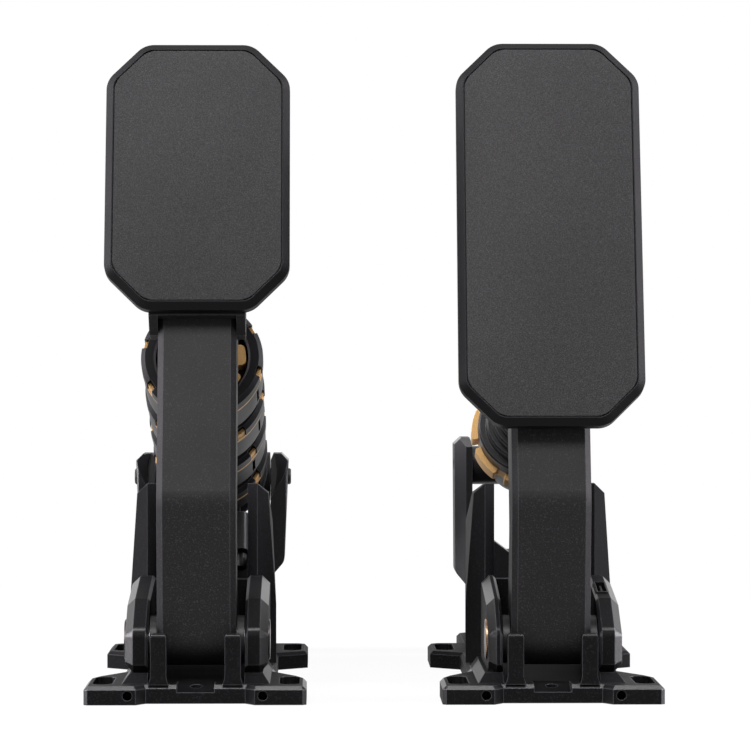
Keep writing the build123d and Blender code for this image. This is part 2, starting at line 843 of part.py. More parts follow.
def gold_disc(index):
    """A thin disc with a lug in each of the ring's notches."""
    start = stack_place(index) + ring_length
    body = disc(disc_radius, start, disc_thick)
    outline = ring(disc_radius - side_gap, ring_radius - notch_depth + side_gap, start - lug_length, lug_length)
    for block in notches(start - lug_length, lug_length, ring_radius - notch_depth + side_gap,
                         notch_width - 2 * running_gap):
        body += block & outline
    body -= brake_rod_bore()
    return turned(body, ring_turns[index])


def cup(index):
    start = stack_place(index) + ring_length + disc_thick
    last = index == stack_count - 1
    length = last_cup_length if last else cup_length
    body = disc(cup_radius, start, length)
    body = chamfer(rims(body, cup_radius, start + length), cup_bevel)
    if not last:
        body -= disc(cup_bore, start + cup_floor, length)
    body -= brake_rod_bore()
    key = Pos(cup_radius, 0, start + (length - min(key_length, length - cup_floor)) / 2) * Box(
        2 * key_depth, key_width, min(key_length, length - cup_floor), align=low)
    return body - turned(key, key_turns[index])


def elastomer(index):
    """A rubber spring from a cup's floor to the next gold disc, a little waisted."""
    start = stack_place(index) + ring_length + disc_thick + cup_floor
    end = stack_place(index + 1) + ring_length
    body = disc(elastomer_radius, start, end - start)
    waist = stack_place(index) + ring_length + disc_thick + cup_length
    gap = stack_place(index + 1) - waist
    groove = elastomer_groove_share * gap
    body -= ring(elastomer_radius + overrun, elastomer_radius - elastomer_groove,
                 waist + (gap - groove) / 2, groove)
    return body - disc(brake_rod_radius + side_gap, start - overrun, end - start + 2 * overrun)


def stack_end():
    return stack_place(stack_count - 1) + ring_length + disc_thick + last_cup_length


def load_cell():
    """A flat ring that the stack presses on, with its electronics in a case that hangs below it."""
    body = disc(cell_radius, stack_end(), cell_length)
    body = chamfer(rims(body, cell_radius, stack_end()) + rims(body, cell_radius, stack_end() + cell_length),
                   cup_bevel)
    top = cup_radius + side_gap
    case = Pos(0, (top + case_reach) / 2, stack_end() - case_front) * Box(
        2 * case_half_width, case_reach - top, case_front + cell_length + trunnion_flange, align=low)
    case = fillet(case.edges().filter_by(Axis.Y), case_round)
    neck = Pos(0, (case_neck + top + case_round) / 2, stack_end()) * Box(
        2 * case_neck, top + case_round - case_neck, cell_length, align=low)
    return body + neck + case - brake_rod_bore()


def barrel(radius, half_width, trunnion_z):
    """The cross barrel of a trunnion in its strut's frame, with a bore for each stub."""
    reach = strut_length(trunnion_z)
    body = Pos(0, 0, reach) * Rot(0, degrees(pi / 2), 0) * Cylinder(radius, 2 * half_width)
    return body


def stub_bores(inner, trunnion_z):
    start = inner + yoke_upright - stub_depth - running_gap
    length = stub_depth + overrun
    bore = Pos(0, 0, strut_length(trunnion_z)) * Rot(0, degrees(pi / 2), 0) * (
        Pos(0, 0, start) * Cylinder(stub_radius + running_gap / 2, length, align=low))
    return bore + mirror(bore, about=Plane.YZ)


def brake_trunnion():
    start = stack_end() + cell_length
    reach = strut_length(brake_trunnion_z)
    body = disc(trunnion_flange_radius, start, trunnion_flange)
    body = chamfer(rims(body, trunnion_flange_radius, start + trunnion_flange), cup_bevel)
    body += disc(trunnion_neck_radius, start, reach - start)
    body += barrel(brake_barrel, brake_yoke_inner - side_gap, brake_trunnion_z)
    body -= stub_bores(brake_yoke_inner, brake_trunnion_z)
    return body - disc(brake_rod_radius + running_gap, 0, brake_rod_length + reach)


def brake_socket():
    """The load cell's cable socket, under its case."""
    centre = stack_end() + (cell_length + trunnion_flange - case_front) / 2
    body = Rot(-degrees(pi / 2), 0, 0) * Cylinder(load_socket_radius, load_socket_length, align=low)
    hollow = Rot(-degrees(pi / 2), 0, 0) * (Pos(0, 0, load_socket_length * middle_share)
                                            * Cylinder(load_socket_bore, load_socket_length, align=low))
    return Pos(load_socket_x, case_reach, centre) * (body - hollow)


# Throttle strut

def throttle_rod():
    body = eye_end(throttle_rod_radius, throttle_rod_length, throttle_eye_gap)
    collar = disc(collar_radius, collar_start, collar_length)
    collar = chamfer(rims(collar, collar_radius, collar_start), step_bevel)
    return body + collar


def spring_path():
    """A helix by formula as two arcs to each quarter turn, with a short straight run at each end."""
    radius = spring_outer - spring_wire / 2
    dip = spring_wire * spring_pitch / (2 * pi * radius)
    start = collar_start + collar_length + spring_wire / 2 + dip + seat_gap
    end = spring_seat_start - spring_wire / 2 - dip - seat_gap
    turns = round((end - start) / spring_pitch)
    rise = (end - start) / turns
    quarters = 4 * turns
    edges = []

    def place(step):
        angle = step * pi / 2
        return Vector(radius * cos(angle), radius * sin(angle), start + rise * step / 4)

    def heading(step):
        angle = step * pi / 2
        return Vector(-radius * sin(angle), radius * cos(angle), rise / (2 * pi)).normalized()

    edges.append(Edge.make_line(place(0) - heading(0) * spring_wire, place(0)))
    for step in range(quarters):
        first, last = place(step), place(step + 1)
        leave, arrive = heading(step), heading(step + 1)
        chord = last - first
        both = leave + arrive
        spread = 2 * (1 - leave.dot(arrive))
        lean = chord.dot(both)
        handle = (sqrt(lean * lean + spread * chord.dot(chord)) - lean) / spread
        joint = (first + leave * handle + last - arrive * handle) * middle_share
        across = (last - arrive * handle) - (first + leave * handle)
        edges.append(Edge.make_tangent_arc(first, leave, joint))
        edges.append(Edge.make_tangent_arc(joint, across.normalized(), last))
    edges.append(Edge.make_line(place(quarters), place(quarters) + heading(quarters) * spring_wire))
    print("coil spring: turns", turns, "least gap between turns", round(rise - spring_wire, 2))
    return Wire(edges), place(0) - heading(0) * spring_wire, heading(0)


def coil_spring():
    path, start, heading = spring_path()
    section = Plane(origin=start, z_dir=heading) * Circle(spring_wire / 2)
    return sweep(section, path)


def tube_bore(shape, start, length):
    return shape - disc(tube_radius + running_gap, start - overrun, length + 2 * overrun)


def spring_seat():
    body = disc(spring_seat_radius, spring_seat_start, spring_seat_length)
    body = chamfer(rims(body, spring_seat_radius, spring_seat_start), step_bevel)
    return tube_bore(body, spring_seat_start, spring_seat_length)


def spring_cup():
    """A ring with two steps, between the spring's seat and the wheel."""
    start = spring_seat_start + spring_seat_length
    rim_start = start + cup_step_length
    step = disc(cup_step_radius, start, cup_step_length)
    step = chamfer(rims(step, cup_step_radius, start), step_bevel)
    rim = disc(cup_rim_radius, rim_start, cup_rim_length)
    rim = chamfer(rims(rim, cup_rim_radius, rim_start), step_bevel)
    return tube_bore(step + rim, start, cup_step_length + cup_rim_length)


def wheel():
    """The gold preload wheel: eight broad lobes with square gaps between them."""
    profile = Circle(wheel_radius)
    depth = wheel_radius - wheel_root
    for index in range(wheel_lobes):
        gap = Pos(wheel_root + depth, 0) * Rectangle(2 * depth, wheel_lobe_gap)
        profile -= Rot(0, 0, index * degrees(2 * pi) / wheel_lobes) * gap
    corners = [vertex for vertex in profile.vertices()
               if hypot(vertex.X, vertex.Y) > wheel_root + depth / 2]
    profile = fillet(corners, wheel_round)
    body = Pos(0, 0, wheel_start) * extrude(profile, wheel_length)
    return turned(tube_bore(body, wheel_start, wheel_length), wheel_turn)


def damper_tube():
    end = strut_length(throttle_trunnion_z) - throttle_barrel - side_gap
    body = disc(tube_radius, tube_start, end - tube_start)
    body = chamfer(rims(body, tube_radius, tube_start), step_bevel)
    return body - disc(throttle_rod_radius + running_gap, 0, tube_chamber)


def throttle_trunnion():
    start = wheel_start + wheel_length + side_gap
    reach = strut_length(throttle_trunnion_z)
    flange = disc(tail_flange_radius, start, tail_flange)
    flange = chamfer(rims(flange, tail_flange_radius, start + tail_flange), cup_bevel)
    body = flange + disc(tail_body_radius, start, reach - throttle_barrel + tail_lap - start)
    body += barrel(throttle_barrel, throttle_yoke_inner - side_gap, throttle_trunnion_z)
    body -= stub_bores(throttle_yoke_inner, throttle_trunnion_z)
    end = reach - throttle_barrel - side_gap
    return body - disc(tube_radius + seat_gap, 0, end + seat_gap)


# Sensor and socket of the throttle

def socket_plane():
    """Lies on the hub's upper slope, with Z out of it."""
    run = hub_crest_y - hub_step_y
    rise = hub_top - hub_step_z
    length = hypot(run, rise)
    centre = (hub_step_y + socket_place_share * run, hub_step_z + socket_place_share * rise)
    return Plane(origin=(socket_x, *centre), x_dir=(1, 0, 0), z_dir=(0, -rise / length, run / length))


def socket_block(gap=0, rise=socket_proud):
    block = Pos(0, 0, -socket_depth - gap) * Box(socket_width + 2 * gap, socket_height + 2 * gap,
                                                 socket_depth + gap + rise, align=low)
    return block


def cable_socket():
    body = socket_block()
    body = fillet(body.edges().filter_by(Axis.Z), socket_wall)
    hollow = Pos(0, 0, socket_floor - socket_depth) * Box(
        socket_width - 2 * socket_wall, socket_height - 2 * socket_wall, socket_depth + overrun, align=low)
    tongue = Pos(0, 0, socket_floor - socket_depth) * Box(
        socket_wall, socket_height / 2, socket_depth - socket_floor, align=low)
    return socket_plane().location * (body - hollow + tongue)


def sensor_pocket(hub_body):
    return hub_body - cross_bar(sensor_radius + seat_gap, sensor_floor - seat_gap, hub_outer + overrun,
                                pivot_y, pivot_z)


def sensor_cap():
    cap = cross_bar(sensor_radius, sensor_floor, hub_outer, pivot_y, pivot_z)
    return chamfer(cap.faces().sort_by(Axis.X)[-1].edges(), step_bevel)


def magnet():
    return cross_bar(magnet_radius, throttle_axle_end, throttle_axle_end + magnet_thick, pivot_y, pivot_z)


# Both units

def arm_pieces(name, side, length, centre, pivot_axle):
    save(name + "_arm", set_down(arm(), side))
    save(name + "_axle", set_down(pivot_axle, side))
    save(name + "_front_pin", set_down(front_pin(), side))
    save(name + "_plate_bracket", set_down(bracket(), side))
    save(name + "_bracket_screws", [set_down(screw, side) for screw in bracket_screws()])
    save(name + "_face_plate", set_down(face_plate(length, centre), side))
    save(name + "_face_screws", [set_down(screw, side).solid() for screw in face_screws(centre)])
    save(name + "_face_pad", set_down(face_pad(length, centre), side))


def shared_pieces():
    """Small pieces that are alike in both units, each kind as one group."""
    screws = []
    washers = []
    widths = [(-1, -1, hub_width), (-1, 1, hub_width), (1, -1, slim_hub_width)]
    bushes = [set_down(bush(half, width), side).solid() for side, half, width in widths]
    caps = [set_down(pivot_cap(half, width), side).solid() for side, half, width in widths]
    for side in (-1, 1):
        screws += [set_down(Pos(x, y, 0) * base_screw(), side).solid() for x, y in base_screw_places()]
        for half in (-1, 1):
            washers.append(set_down(washer(half), side).solid())
    pocket = cross_bar(sensor_radius, sensor_floor - seat_gap, hub_outer + overrun, pivot_y, pivot_z)
    bushes.append(set_down(bush(1) - pocket, 1).solid())
    save("base_screws", screws)
    save("pivot_bushes", bushes)
    save("pivot_washers", washers)
    save("pivot_caps", caps)
    pins = stubs(brake_yoke_inner, brake_trunnion_z, stub_proud)
    both = [set_down(pin, -1).solid() for pin in pins]
    pins = stubs(throttle_yoke_inner, throttle_trunnion_z, -throttle_stub_sink)
    both += [set_down(pin, 1).solid() for pin in pins]
    save("trunnion_stubs", both)


def brake_unit():
    side = -1
    place = strut(brake_trunnion_z).location

    def strut_piece(name, shape):
        save(name, set_down(place * shape, side))

    save("brake_base", set_down(base(), side))
    save("brake_hub_left", set_down(hub(-1), side))
    save("brake_hub_right", set_down(hub(1), side))
    rear = yoke(brake_yoke_inner, brake_yoke_over, brake_trunnion_z, brake_yoke_foot_top, brake_yoke_taper,
                brake_yoke_edge)
    save("brake_yoke", set_down(rear - scoop(), side))
    arm_pieces("brake", side, brake_face_length, brake_face_centre, axle())
    strut_piece("brake_rod", brake_rod())
    strut_piece("brake_knob", knob())
    for index in range(stack_count):
        number = str(index + 1)
        strut_piece("stack_ring_" + number, notched_ring(index))
        strut_piece("stack_disc_" + number, gold_disc(index))
        strut_piece("stack_cup_" + number, cup(index))
    for index in range(stack_count - 1):
        strut_piece("elastomer_" + str(index + 1), elastomer(index))
    strut_piece("load_cell", load_cell())
    strut_piece("brake_trunnion", brake_trunnion())
    strut_piece("brake_socket", brake_socket())


def throttle_unit():
    side = 1
    place = strut(throttle_trunnion_z).location

    def strut_piece(name, shape):
        save(name, set_down(place * shape, side))

    save("throttle_base", set_down(base(), side))
    save("throttle_hub_left", set_down(hub(-1, slim_hub_width), side))
    right = sensor_pocket(hub(1)) - socket_plane().location * socket_block(seat_gap, overrun)
    save("throttle_hub_right", set_down(right, side))
    rear = yoke(throttle_yoke_inner, throttle_yoke_over, throttle_trunnion_z,
                throttle_yoke_foot_top, throttle_yoke_taper, throttle_yoke_edge)
    save("throttle_yoke", set_down(rear, side))
    arm_pieces("throttle", side, throttle_face_length, throttle_face_centre,
               axle(-slim_hub_outer + axle_inset, throttle_axle_end))
    strut_piece("throttle_rod", throttle_rod())
    strut_piece("throttle_spring", coil_spring())
    strut_piece("spring_seat", spring_seat())
    strut_piece("spring_cup", spring_cup())
    strut_piece("preload_wheel", wheel())
    strut_piece("damper_tube", damper_tube())
    strut_piece("throttle_trunnion", throttle_trunnion())
    save("throttle_socket", set_down(cable_socket(), side))
    save("sensor_cap", set_down(sensor_cap(), side))
    save("sensor_magnet", set_down(magnet(), side))


os.makedirs("parts", exist_ok=True)
shared_pieces()
brake_unit()
throttle_unit()
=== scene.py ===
"""Looks for a pair of floor-standing racing pedals, a brake and a throttle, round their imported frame."""

from math import atan2, cos, pi, radians, sin

import bmesh
import bpy
from bpy.props import FloatProperty, FloatVectorProperty, IntProperty, PointerProperty
from mathutils import Matrix, Vector


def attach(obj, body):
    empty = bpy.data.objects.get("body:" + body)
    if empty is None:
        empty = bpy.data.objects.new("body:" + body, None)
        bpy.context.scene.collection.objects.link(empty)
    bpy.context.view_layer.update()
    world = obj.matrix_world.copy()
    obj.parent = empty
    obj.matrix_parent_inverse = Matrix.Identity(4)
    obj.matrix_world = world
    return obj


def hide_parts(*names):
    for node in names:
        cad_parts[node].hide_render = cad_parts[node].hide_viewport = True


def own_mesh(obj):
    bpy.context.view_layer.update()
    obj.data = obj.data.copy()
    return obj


bl_info = {
    "name": "Racing pedal set",
    "version": (1, 0, 0),
    "blender": (4, 5, 0),
    "location": "3D View > Sidebar > Pedals",
    "description": "Dresses a brake and a throttle pedal with their finishes, soft parts and springs",
    "category": "Object",
}

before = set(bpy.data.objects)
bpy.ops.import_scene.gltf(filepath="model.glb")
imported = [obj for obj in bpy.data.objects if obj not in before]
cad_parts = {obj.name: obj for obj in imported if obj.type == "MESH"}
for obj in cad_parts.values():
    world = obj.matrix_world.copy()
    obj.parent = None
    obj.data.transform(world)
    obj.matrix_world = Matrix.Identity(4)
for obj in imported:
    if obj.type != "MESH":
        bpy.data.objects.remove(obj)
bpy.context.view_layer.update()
mm = 0.001

# Places shared with the frame, in metres
BRAKE_X, THROTTLE_X = -76.2 * mm, 76.2 * mm
PIVOT_Y, PIVOT_Z = -101.0 * mm, 25.0 * mm
FRONT_PIN = Vector((0, -83.5 * mm, 161.7 * mm))
BRAKE_TRUNNION = Vector((0, 117.0 * mm, 87.0 * mm))
THROTTLE_TRUNNION = Vector((0, 117.0 * mm, 92.5 * mm))
ARM_LEAN = radians(14.5)
ARM_BEND = Vector((0, -123.4 * mm, 87.0 * mm))

# Places along the leaning part of an arm, measured from its bend, and distances before the arm's front
BRAKE_FACE_CENTRE, THROTTLE_FACE_CENTRE = 140.4 * mm, 115.2 * mm
PAD_FLOOR_OUT = 13.0 * mm
ARM_HALF, ARM_TOP = 17.0 * mm, 176.0 * mm
WEB_BOTTOM = 79.5 * mm
TAB_THICK = 3.85 * mm
BRACKET_SCREW_OUT = -8.0 * mm
BRACKET_SCREW_SHARES = (0.17, 0.83)
HEAD_RADIUS, HEAD_HEIGHT = 5.0 * mm, 2.6 * mm

# Places along a strut, measured from its front pin
STACK_START, STACK_PITCH = 41.4 * mm, 42.0 * mm
RING_LENGTH, DISC_THICK, CUP_LENGTH, CUP_FLOOR = 9.0 * mm, 2.5 * mm, 21.0 * mm, 3.5 * mm
SEAT_GAP = 0.05 * mm
COIL_START, COIL_END, COIL_GAP = 22.0 * mm, 134.0 * mm, 0.2 * mm

# Fixed tones, linear
CAST_SPECK = (0.03, 0.029, 0.032)
ARM_SPECK = (0.062, 0.059, 0.063)
# The edge tones here and below paint a highlight along sharp edges.
PLATE_SPECK, PLATE_EDGE_HIGHLIGHT = (0.009, 0.0087, 0.0095), (0.045, 0.043, 0.048)
PAD_SPECK = (0.06, 0.058, 0.06)
RUBBER_SPECK = (0.016, 0.016, 0.0165)
BLACK_GROOVE = (0.016, 0.0155, 0.017)
BRAKE_BLACK_EDGE_HIGHLIGHT, THROTTLE_BLACK_EDGE_HIGHLIGHT = (0.085, 0.081, 0.09), (0.16, 0.153, 0.168)
GOLD_GROOVE, GOLD_EDGE_HIGHLIGHT = (0.45, 0.26, 0.095), (0.62, 0.42, 0.2)
# Painted shade for the middle of the gold discs, inside the rings' bores.
DISC_SHADE = (0.006, 0.006, 0.0065)
WHITE = (1.0, 1.0, 1.0)
VIOLET = (0.97, 0.93, 1.0)


def beside(x, point):
    """A place on a unit's middle plane, moved to that unit."""
    return Vector((x, point.y, point.z))


def strut_matrix(x, trunnion):
    """Local Z runs down the strut from the front pin, and local Y points down."""
    along = (trunnion - FRONT_PIN).normalized()
    across = Vector((1, 0, 0))
    down = along.cross(across)
    turn = Matrix((across, down, along)).transposed().to_4x4()
    return Matrix.Translation(beside(x, FRONT_PIN)) @ turn


def face_matrix(x, along, out):
    """Local Y runs up the leaning face and local Z points to the driver.
    The place is given by its distance along the arm's lean and out before the arm's front."""
    up = Vector((0, sin(ARM_LEAN), cos(ARM_LEAN)))
    front = Vector((0, -cos(ARM_LEAN), sin(ARM_LEAN)))
    turn = Matrix((Vector((1, 0, 0)), up, front)).transposed().to_4x4()
    place = ARM_BEND + up * along + front * out
    return Matrix.Translation(beside(x, place)) @ turn


# Shader maths


class Value:
    """A socket of a node tree that takes part in plain arithmetic."""

    def __init__(self, tree, socket):
        self.tree = tree
        self.socket = socket

    def combine(self, operation, other, swapped=False, clamp=False):
        node = self.tree.nodes.new("ShaderNodeMath")
        node.operation = operation
        node.use_clamp = clamp
        pair = (other, self) if swapped else (self, other)
        for index, item in enumerate(pair):
            if isinstance(item, Value):
                self.tree.links.new(item.socket, node.inputs[index])
            else:
                node.inputs[index].default_value = item
        return Value(self.tree, node.outputs[0])

    def __add__(self, other):
        return self.combine("ADD", other)

    __radd__ = __add__

    def __sub__(self, other):
        return self.combine("SUBTRACT", other)

    def __rsub__(self, other):
        return self.combine("SUBTRACT", other, swapped=True)

    def __mul__(self, other):
        return self.combine("MULTIPLY", other)

    __rmul__ = __mul__

    def __gt__(self, other):
        return self.combine("GREATER_THAN", other)

    def __pow__(self, other):
        return self.combine("POWER", other)

    def clamped(self):
        return self.combine("ADD", 0.0, clamp=True)


class Finish:
    """A material under construction: one method adds any node."""

    def __init__(self, name):
        self.material = bpy.data.materials.new(name)
        self.material.use_nodes = True
        self.tree = self.material.node_tree
        self.tree.nodes.clear()

    def node(self, kind, settings=None, inputs=None, output=0):
        made = self.tree.nodes.new("ShaderNode" + kind)
        for key, value in (settings or {}).items():
            setattr(made, key, value)
        for key, value in (inputs or {}).items():
            socket = made.inputs[key]
            if isinstance(value, Value):
                self.tree.links.new(value.socket, socket)
            else:
                socket.default_value = value
        return Value(self.tree, made.outputs[output])

    def coords(self):
        """Object coordinates."""
        return self.node("TexCoord", output=3)

    def normal(self):
        """The surface's direction in object space."""
        return self.node("TexCoord", output=1)

    def noise(self, scale, detail, rough, coords):
        return self.node("TexNoise", inputs={
            "Vector": coords, "Scale": scale, "Detail": detail, "Roughness": rough})

    def spread(self, value, low, high):
        """Stretches a value so that low becomes 0 and high becomes 1."""
        return self.node("MapRange", {"clamp": True}, {0: value, 1: low, 2: high, 3: 0.0, 4: 1.0})

    def mix(self, factor, first, second):
        return self.node("Mix", {"data_type": "RGBA"}, {0: factor, 6: first, 7: second}, output=2)

    def split(self, vector):
        """The three numbers of a vector."""
        parts = self.tree.nodes.new("ShaderNodeSeparateXYZ")
        self.tree.links.new(vector.socket, parts.inputs[0])
        return [Value(self.tree, socket) for socket in parts.outputs]

    def rounded(self, radius):
        """The surface's direction as if its corners were rounded."""
        return self.node("Bevel", {"samples": 6}, {"Radius": radius})

    def edge(self, rounded):
        """1 on a sharp edge, 0 on a flat: how far the rounded direction leaves the true one."""
        flat, sharp = 0.004, 0.1
        true = self.node("NewGeometry", output=1)
        along = self.node("VectorMath", {"operation": "DOT_PRODUCT"}, {0: rounded, 1: true}, output=1)
        return self.spread(1 - along, flat, sharp)

    def bevels(self, before=None):
        """1 where the surface slopes about half-way between two main directions, 0 where it faces one.
        With a place given, only what stands before that place along Y counts."""
        power, level, slope = 8, 0.15, 0.22
        x, y, z = self.split(self.normal())
        sloped = self.spread(1 - (x ** power + y ** power + z ** power) ** (1 / power), level, slope)
        if before is None:
            return sloped
        fade = 5 * mm
        return sloped * self.spread(self.split(self.coords())[1], before + fade, before)

    def finish(self, surface):
        output = self.tree.nodes.new("ShaderNodeOutputMaterial")
        self.tree.links.new(surface.socket, output.inputs[0])
        return self.material


def seen_directly(tree):
    """1 for camera, glossy and transmission rays, 0 for the light that falls on the object."""
    rays = tree.nodes.new("ShaderNodeLightPath")
    camera, glossy, through = [Value(tree, rays.outputs[kind]) for kind in (
        "Is Camera Ray", "Is Glossy Ray", "Is Transmission Ray")]
    return (camera + glossy + through).clamped()


def mix_shaders(tree, factor, first, second):
    mixed = tree.nodes.new("ShaderNodeMixShader")
    for index, item in enumerate((factor, first, second)):
        tree.links.new(item.socket, mixed.inputs[index])
    return Value(tree, mixed.outputs[0])


def rgb(tone):
    return (*tone, 1.0)


def scaled(tone, share):
    return tuple(part * share for part in tone)


def coated_metal(name, tone, speck_tone, edge_highlight_tone, grain, rough, bump, edge_radius, specular,
                 gloss_on_bevels=0.0, bevels_before=None):
    """Cast or milled metal under a thin dark coat.
    It has fine specks, a cloudy gloss, a painted highlight along its edges and, where asked for, glossier
    bevels."""
    speck_share, cloud_share, edge_highlight_share = 0.75, 0.22, 0.8
    coat_rough = 0.3
    made = Finish(name)
    place = made.coords()
    specks = made.noise(scale=grain, detail=2.0, rough=0.62, coords=place)
    clouds = made.noise(scale=38.0, detail=3.0, rough=0.55, coords=place)
    fine = made.noise(scale=grain * 2.3, detail=1.0, rough=0.5, coords=place)
    rounded = made.rounded(edge_radius)
    bright = made.spread(specks, 0.55, 0.75)
    colour = made.mix(bright * speck_share, rgb(tone), rgb(speck_tone))
    shade = made.spread(clouds, 0.3, 0.7)
    colour = made.mix(shade * cloud_share, colour, rgb(scaled(tone, 0.55)))
    # Painted highlight along sharp edges, broken up by fine noise; it also makes those edges a little
    # glossier.
    edge_highlight_mask = (made.edge(rounded) * (0.55 + 0.45 * made.spread(fine, 0.35, 0.6))).clamped()
    colour = made.mix(edge_highlight_mask * edge_highlight_share, colour, rgb(edge_highlight_tone))
    gloss = rough + (specks - 0.5) * 0.22 + (clouds - 0.5) * 0.12 - edge_highlight_mask * 0.08
    relief = made.node("Bump", inputs={
        "Strength": bump, "Distance": 0.12 * mm, "Height": specks + fine * 0.5, "Normal": rounded})
    return made.finish(made.node("BsdfPrincipled", inputs={
        "Base Color": colour, "Roughness": gloss.clamped(), "Normal": relief, "Metallic": 0.0,
        "Specular IOR Level": specular, "Coat Weight": made.bevels(bevels_before) * gloss_on_bevels,
        "Coat Roughness": coat_rough, "Coat Normal": relief}))


def turned_metal(name, tone, groove_tone, rough, strut=None, metallic=0.9, specular=0.5, edge_highlight_tone=None,
                 shade_radius=None):
    """Lathe-turned metal: fine rings about the axis of the piece, a faint cloud and, with an edge tone given,
    a painted highlight on its corners.
    With a shade radius given, painted shade darkens the metal within that radius."""
    line_share, grain_share, highlight_share = 0.5, 0.3, 0.85
    ring_scale = 60.0
    edge_radius = 0.35 * mm
    shade_fade = 0.3 * mm
    made = Finish(name)
    place = made.coords()
    if strut:
        turn = strut_matrix(*strut)
        place = made.node("Mapping", {"vector_type": "TEXTURE"}, {
            "Vector": place, "Location": turn.to_translation(), "Rotation": turn.to_euler()})
    x, y, z = made.split(place)
    across = (x * x + y * y) ** 0.5 if strut else (y * y + z * z) ** 0.5
    along = z if strut else x
    rings = made.node("CombineXYZ", inputs={"X": across * ring_scale, "Y": along * ring_scale, "Z": 0.0})
    lines = made.noise(scale=90.0, detail=2.0, rough=0.6, coords=rings)
    grain = made.noise(scale=1900.0, detail=1.0, rough=0.5, coords=made.coords())
    clouds = made.noise(scale=60.0, detail=2.0, rough=0.5, coords=made.coords())
    rounded = made.rounded(edge_radius)
    colour = made.mix(made.spread(lines, 0.35, 0.65) * line_share, rgb(tone), rgb(groove_tone))
    colour = made.mix(made.spread(grain, 0.45, 0.75) * grain_share, colour, rgb(scaled(tone, 1.5)))
    # Painted highlight on the corners.
    if edge_highlight_tone:
        colour = made.mix(made.edge(rounded) * highlight_share, colour, rgb(edge_highlight_tone))
    # Painted shade: the metal within the given radius is darkened to a near-black tone.
    if shade_radius:
        colour = made.mix(made.spread(across, shade_radius, shade_radius - shade_fade), colour, rgb(DISC_SHADE))
    gloss = rough + (lines - 0.5) * 0.3 + (clouds - 0.5) * 0.15
    relief = made.node("Bump", inputs={
        "Strength": 0.12, "Distance": 0.05 * mm, "Height": lines + grain * 0.4, "Normal": rounded})
    return made.finish(made.node("BsdfPrincipled", inputs={
        "Base Color": colour, "Roughness": gloss.clamped(), "Normal": relief, "Metallic": metallic,
        "Specular IOR Level": specular}))


def anodised_gold(name, tone, strut, shade_radius=None):
    return turned_metal(name, tone, GOLD_GROOVE, rough=0.52, strut=strut, metallic=0.45, specular=0.3,
                        edge_highlight_tone=GOLD_EDGE_HIGHLIGHT, shade_radius=shade_radius)


def soft_sheet(name, tone, speck_tone, grain, rough, bump, specular):
    """Rubber or a rubbery sheet: matt, with a fine even grain and a faint cloud."""
    cloud_share = 0.16
    edge_radius = 0.4 * mm
    made = Finish(name)
    place = made.coords()
    cells = made.node("TexVoronoi", {"feature": "F1"}, {"Vector": place, "Scale": grain, "Randomness": 1.0})
    specks = made.noise(scale=grain * 0.9, detail=2.0, rough=0.6, coords=place)
    clouds = made.noise(scale=26.0, detail=3.0, rough=0.55, coords=place)
    colour = made.mix(made.spread(specks, 0.42, 0.72), rgb(tone), rgb(speck_tone))
    colour = made.mix(made.spread(clouds, 0.35, 0.7) * cloud_share, colour, rgb(scaled(tone, 0.6)))
    gloss = rough + (specks - 0.5) * 0.2 + (cells - 0.4) * 0.1
    relief = made.node("Bump", inputs={
        "Strength": bump, "Distance": 0.1 * mm, "Height": specks + cells * 0.6,
        "Normal": made.rounded(edge_radius)})
    return made.finish(made.node("BsdfPrincipled", inputs={
        "Base Color": colour, "Roughness": gloss.clamped(), "Normal": relief, "Metallic": 0.0,
        "Specular IOR Level": specular}))


# Settings


class CastingSettings(bpy.types.PropertyGroup):
    cast_tone: FloatVectorProperty(name="Casting colour", description="Coat of the bases, hubs and yokes",
                                   subtype="COLOR", default=(0.0048, 0.0046, 0.0051))
    arm_tone: FloatVectorProperty(name="Arm colour", description="Coat of the arms and their brackets",
                                  subtype="COLOR", default=(0.0098, 0.0093, 0.0099))
    # Painted highlight along the sharp edges of the coated parts.
    edge_highlight_tone: FloatVectorProperty(name="Edge colour", description="Thin bright line along milled corners",
                                   subtype="COLOR", default=(0.13, 0.124, 0.14))
    grain: FloatProperty(name="Grain", description="Specks per metre in the coat", default=1500.0)


class FaceSettings(bpy.types.PropertyGroup):
    plate_tone: FloatVectorProperty(name="Plate colour", description="Coat of the face plates",
                                    subtype="COLOR", default=(0.0045, 0.0043, 0.0048))
    pad_tone: FloatVectorProperty(name="Pad colour", description="Sheet let into each face", subtype="COLOR",
                                  default=(0.022, 0.0214, 0.022))
    width: FloatProperty(name="Face width", description="Width of both faces", subtype="DISTANCE",
                         default=80 * mm)
    brake_length: FloatProperty(name="Brake face length", description="Height of the brake's face",
                                subtype="DISTANCE", default=120 * mm)
    throttle_length: FloatProperty(name="Throttle face length", description="Height of the throttle's face",
                                   subtype="DISTANCE", default=172 * mm)
    corner: FloatProperty(name="Corner cut", description="How far each corner is cut back",
                          subtype="DISTANCE", default=16.5 * mm)
    inset: FloatProperty(name="Pad inset", description="Rim left round the pad", subtype="DISTANCE",
                         default=3.6 * mm)
    thickness: FloatProperty(name="Pad thickness", description="Thickness of the sheet", subtype="DISTANCE",
                             default=1.5 * mm)


